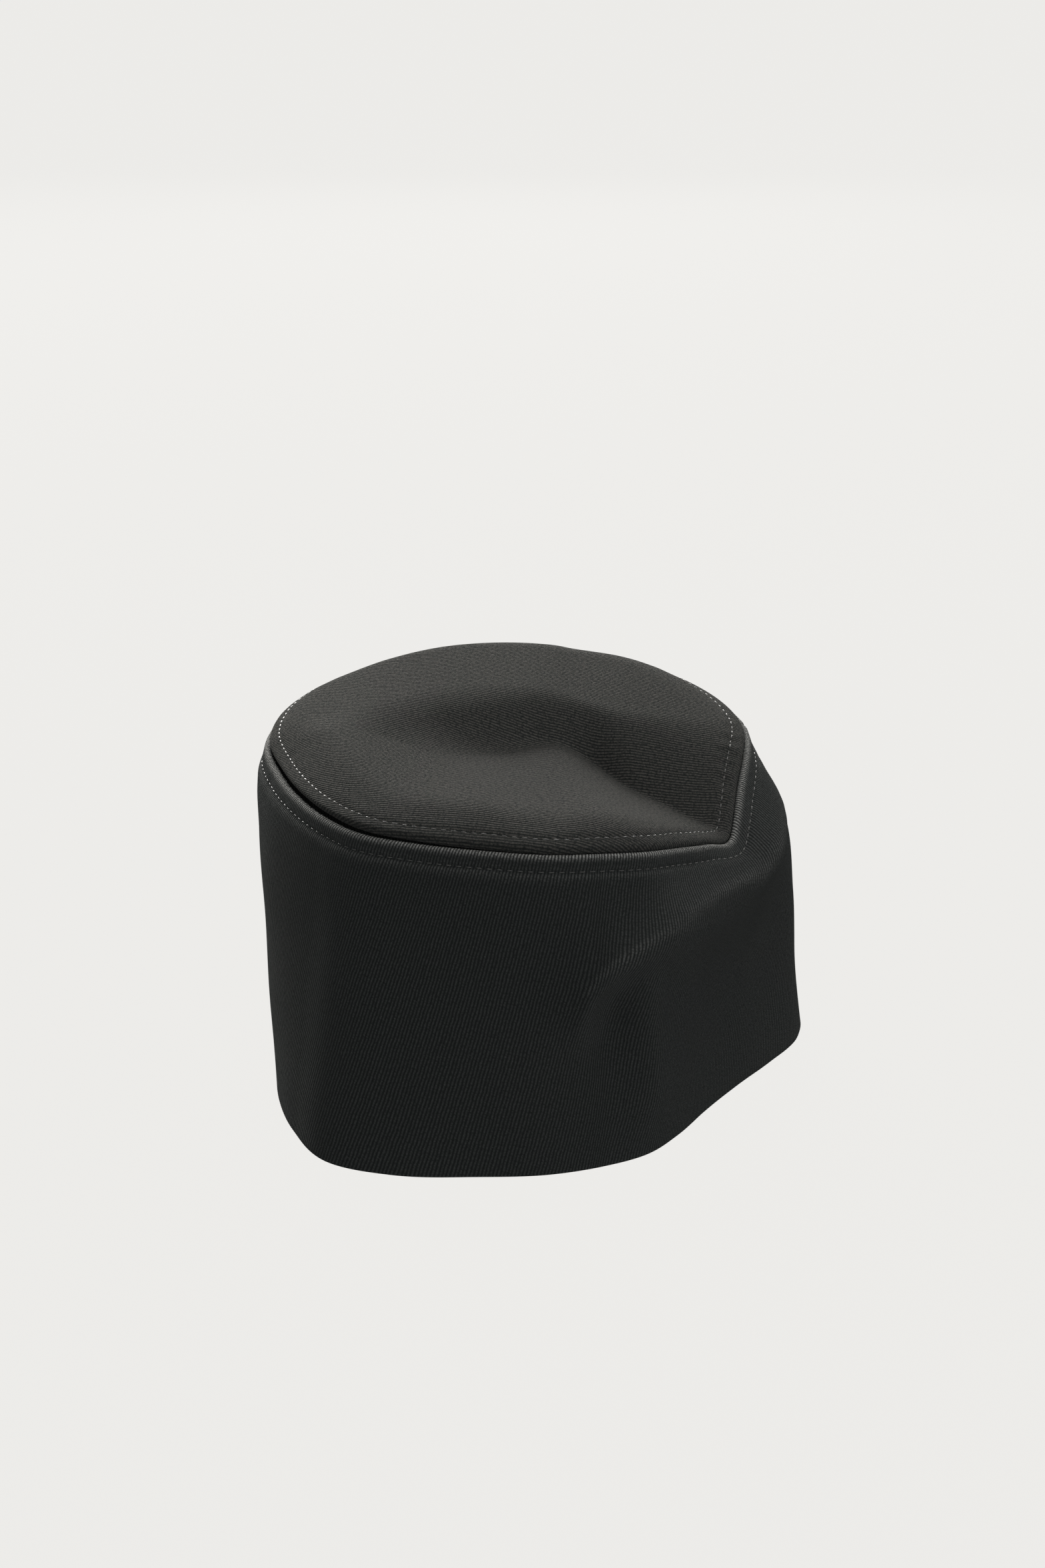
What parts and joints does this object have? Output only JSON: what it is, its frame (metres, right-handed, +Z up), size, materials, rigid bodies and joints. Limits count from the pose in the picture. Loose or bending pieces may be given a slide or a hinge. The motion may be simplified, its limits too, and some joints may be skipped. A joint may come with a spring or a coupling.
{
  "type": "wool cap",
  "caption": "Soft brimless cap of black twill wool: a tall side band and an oval tip joined by a pressed-open, topstitched seam. It stands on its hem with a dented side and a folded tip.",
  "frame": {"origin": "centre of the bounding box's base, on the surface that the hem stands on", "axes": "+Z up, Y along the long axis of the head opening, +X toward the dented side that shows in the picture"},
  "size_m": [0.1956, 0.2078, 0.1337],
  "materials": {
    "side_band": "matt black twill wool, steep fine ribs",
    "crown_tip": "matt black twill wool, fine ribs along the oval"
  },
  "bodies": {
    "root": {"side_band": "side_band", "crown_tip": "crown_tip"}
  },
  "joints": []
}
